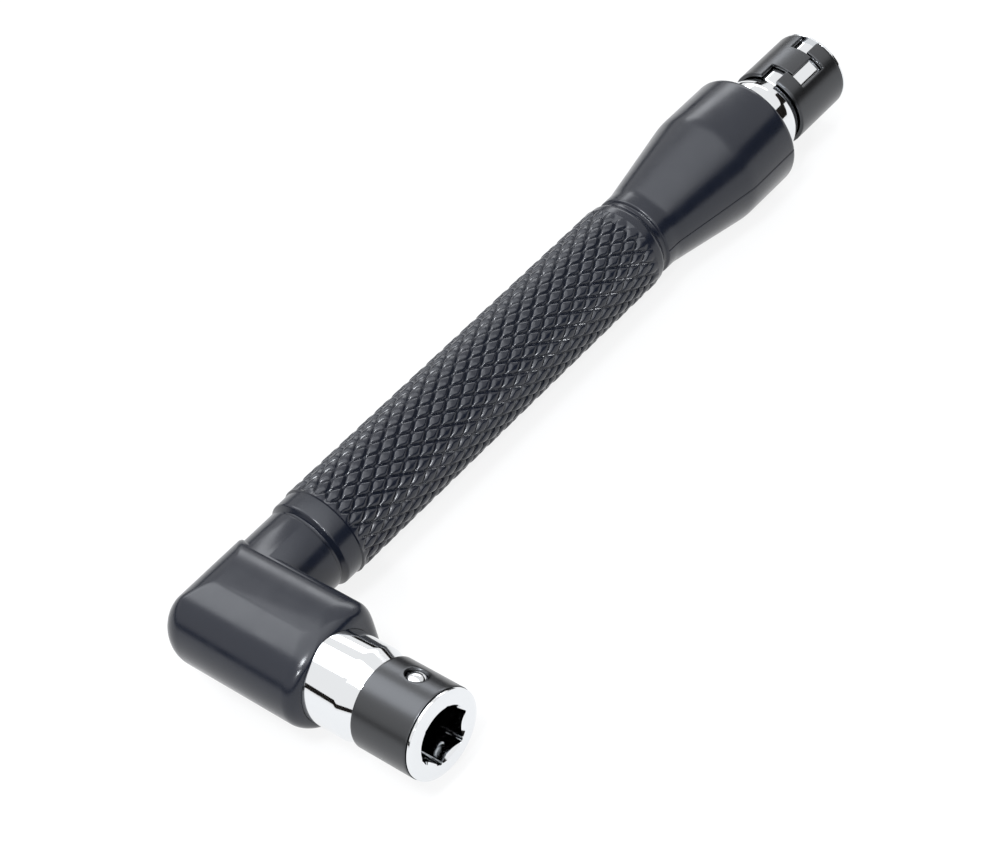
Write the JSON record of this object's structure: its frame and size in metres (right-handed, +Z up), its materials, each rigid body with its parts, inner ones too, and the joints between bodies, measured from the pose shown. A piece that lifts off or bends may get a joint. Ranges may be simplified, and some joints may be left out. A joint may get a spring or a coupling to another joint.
{
  "type": "l-shaped bit wrench",
  "caption": "L-shaped hand wrench for hex-shank screwdriver bits: knurled black handle with a chrome bit socket, rolled spring sleeve and detent ball on each arm.",
  "frame": {"origin": "centre of the underside of the box, with the wrench lying flat", "axes": "+Y along the handle towards the end socket, +X along the short arm towards the side socket, +Z up, square to the plane of the L"},
  "size_m": [0.04, 0.1204, 0.0161],
  "materials": {
    "black_plastic": "moulded black nylon, satin",
    "bar_steel": "drawn hex bar, bare",
    "chrome_plate": "turned steel, bright chrome plate",
    "black_steel": "rolled spring steel, blackened, satin",
    "ball_steel": "hardened bearing steel, polished"
  },
  "bodies": {
    "handle": {"handle_moulding": "black_plastic", "core_bar": "bar_steel", "side_socket": "chrome_plate", "end_socket": "chrome_plate", "side_spring_sleeve": "black_steel", "end_spring_sleeve": "black_steel"},
    "side_ball": {"side_detent_ball": "ball_steel"},
    "end_ball": {"end_detent_ball": "ball_steel"}
  },
  "joints": [
    {"name": "side_ball_slide", "type": "slide", "parent": "handle", "child": "side_ball", "axis": [0, 0.4226, 0.9063], "range_m": [0, 0.0011], "stiffness_N_per_m": 3000, "deforming": ["side_spring_sleeve"]},
    {"name": "end_ball_slide", "type": "slide", "parent": "handle", "child": "end_ball", "axis": [-0.3907, 0, -0.9205], "range_m": [0, 0.0011], "stiffness_N_per_m": 3000, "deforming": ["end_spring_sleeve"]}
  ]
}
